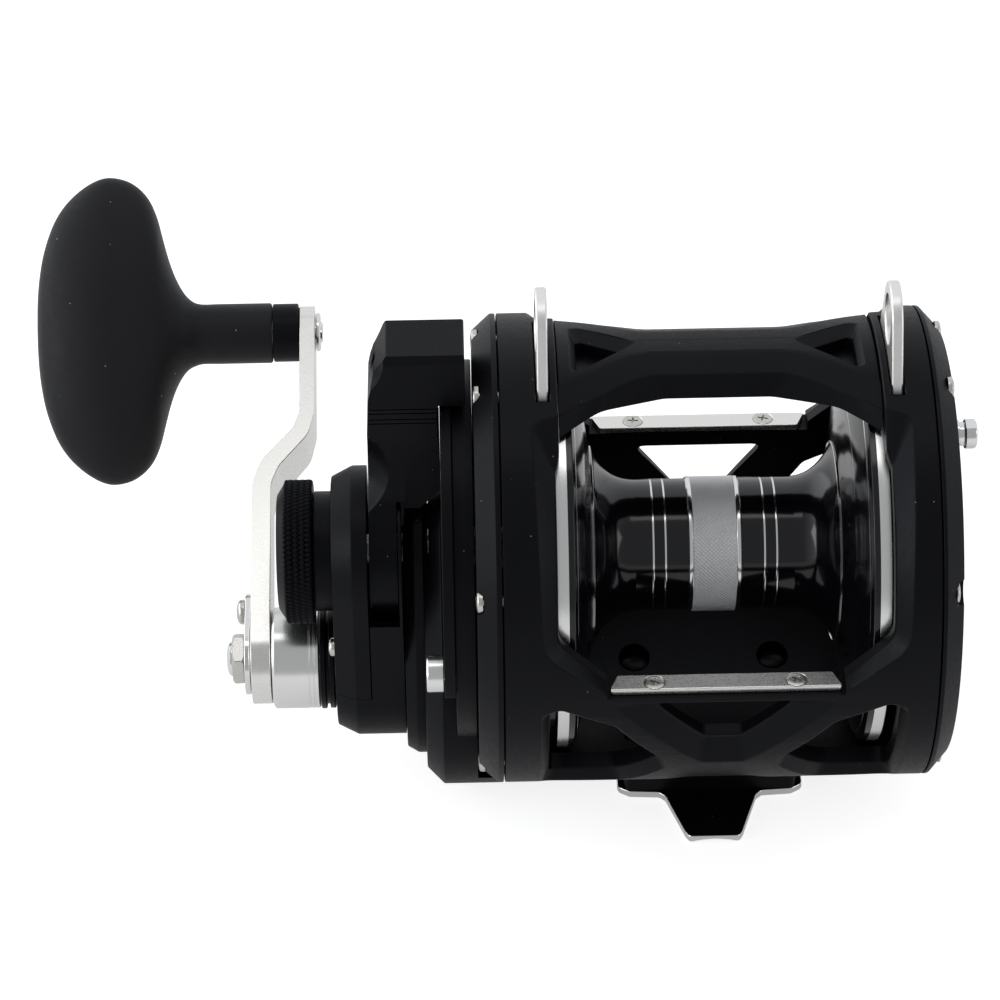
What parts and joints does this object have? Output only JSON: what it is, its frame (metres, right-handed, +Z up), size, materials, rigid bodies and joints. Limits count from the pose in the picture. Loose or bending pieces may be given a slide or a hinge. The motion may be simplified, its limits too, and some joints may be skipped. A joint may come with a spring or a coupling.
{
  "type": "trolling reel",
  "caption": "Lever-drag trolling reel: black barred frame, gloss spool, offset gearbox, bright crank with T grip, harness lugs and rod foot.",
  "frame": {"origin": "middle of the flat underside of the reel foot", "axes": "+X along the spool axis away from the handle, +Y to the rear (towards the angler), +Z up away from the rod"},
  "size_m": [0.2399, 0.1687, 0.1426],
  "materials": {
    "black_anodised": "satin black anodised aluminium",
    "gloss_black_anodised": "polished black anodised aluminium with bright cut lines",
    "polished_metal": "satin to polished bright metal",
    "stainless_steel": "turned stainless steel",
    "gear_bronze": "machined bronze",
    "carbon_fibre": "woven carbon drag disc",
    "soft_touch_grip": "soft-touch matte black"
  },
  "bodies": {
    "frame": {"main_frame": "black_anodised", "top_bar": "black_anodised", "reel_foot": "black_anodised", "handle_side_cover": "black_anodised", "tail_side_cover": "black_anodised", "gearbox_housing": "black_anodised", "gearbox_cap": "black_anodised", "gearbox_boss": "black_anodised", "hub_cover": "black_anodised", "lever_quadrant": "black_anodised", "foot_screw_front_left": "black_anodised", "foot_screw_front_right": "black_anodised", "foot_screw_rear_left": "black_anodised", "foot_screw_rear_right": "black_anodised", "harness_lug_handle_side": "polished_metal", "harness_lug_tail_side": "polished_metal", "line_guard_front": "polished_metal", "line_guard_rear": "polished_metal", "guard_screw_front_left": "stainless_steel", "guard_screw_front_right": "stainless_steel", "guard_screw_rear_left": "stainless_steel", "guard_screw_rear_right": "stainless_steel", "cover_screw_1": "stainless_steel", "cover_screw_2": "stainless_steel", "cover_screw_3": "stainless_steel", "cover_screw_4": "stainless_steel", "cover_screw_5": "stainless_steel", "cover_screw_6": "stainless_steel", "preset_springs": "stainless_steel", "spool_shaft": "stainless_steel", "tail_bearing": "stainless_steel", "drive_bearing": "stainless_steel", "crank_bearing_inner": "stainless_steel", "crank_bearing_outer": "stainless_steel"},
    "spool": {"spool": "gloss_black_anodised", "spool_bearing_handle_side": "stainless_steel", "spool_bearing_tail_side": "stainless_steel", "click_ratchet": "gear_bronze", "drag_washer": "carbon_fibre"},
    "drive": {"pressure_plate": "stainless_steel", "pinion_cluster": "stainless_steel", "anti_reverse_ratchet": "stainless_steel"},
    "low_gear": {"main_gear_low": "gear_bronze"},
    "crank": {"crank_shaft": "stainless_steel", "main_gear_high": "gear_bronze", "crank_spacer": "black_anodised", "crank_hub": "polished_metal", "crank_arm": "polished_metal", "lock_plate": "polished_metal", "lock_screw": "stainless_steel", "crank_nut": "stainless_steel", "knob_spindle": "stainless_steel"},
    "grip": {"t_grip": "soft_touch_grip", "knob_collar": "black_anodised"},
    "shift": {"shift_button": "stainless_steel"},
    "lever": {"drag_lever": "black_anodised"},
    "preset": {"preset_knob": "black_anodised"},
    "stop_button": {"lever_stop_button": "polished_metal"},
    "clicker": {"clicker_button": "polished_metal"},
    "pawl": {"anti_reverse_pawl": "stainless_steel"}
  },
  "joints": [
    {"name": "crank_spin", "type": "hinge", "parent": "frame", "child": "crank", "pos_m": [-0.1, 0, 0.03325], "axis": [1, 0, 0], "continuous": true},
    {"name": "drive_spin", "type": "hinge", "parent": "frame", "child": "drive", "pos_m": [-0.06, 0, 0.067], "axis": [1, 0, 0], "continuous": true},
    {"name": "spool_spin", "type": "hinge", "parent": "frame", "child": "spool", "pos_m": [0, 0, 0.067], "axis": [1, 0, 0], "continuous": true},
    {"name": "low_gear_spin", "type": "hinge", "parent": "frame", "child": "low_gear", "pos_m": [-0.0624, 0, 0.03325], "axis": [1, 0, 0], "continuous": true},
    {"name": "grip_spin", "type": "hinge", "parent": "crank", "child": "grip", "pos_m": [-0.13, 0.083, 0.07738], "axis": [1, 0, 0], "continuous": true},
    {"name": "shift_push", "type": "slide", "parent": "crank", "child": "shift", "axis": [1, 0, 0], "range_m": [0, 0.0012], "stiffness_N_per_m": 400},
    {"name": "lever_swing", "type": "hinge", "parent": "frame", "child": "lever", "pos_m": [-0.0817, 0, 0.067], "axis": [1, 0, 0], "range_deg": [-50, 80]},
    {"name": "preset_turn", "type": "hinge", "parent": "frame", "child": "preset", "pos_m": [-0.1037, 0, 0.067], "axis": [1, 0, 0], "range_deg": [-180, 180]},
    {"name": "stop_button_push", "type": "slide", "parent": "frame", "child": "stop_button", "axis": [1, 0, 0], "range_m": [0, 0.0024], "stiffness_N_per_m": 300},
    {"name": "clicker_slide", "type": "slide", "parent": "frame", "child": "clicker", "axis": [0, 0, -1], "range_m": [0, 0.0045]},
    {"name": "pawl_lift", "type": "hinge", "parent": "frame", "child": "pawl", "pos_m": [-0.0476, -0.0155, 0.09385], "axis": [1, 0, 0], "range_deg": [0, 8], "stiffness_Nm_per_rad": 0.02}
  ],
  "couplings": [
    {"joint": "drive_spin", "follows": "crank_spin", "ratio": -3.5},
    {"joint": "spool_spin", "follows": "crank_spin", "ratio": -3.5},
    {"joint": "low_gear_spin", "follows": "crank_spin", "ratio": 2.0588}
  ]
}
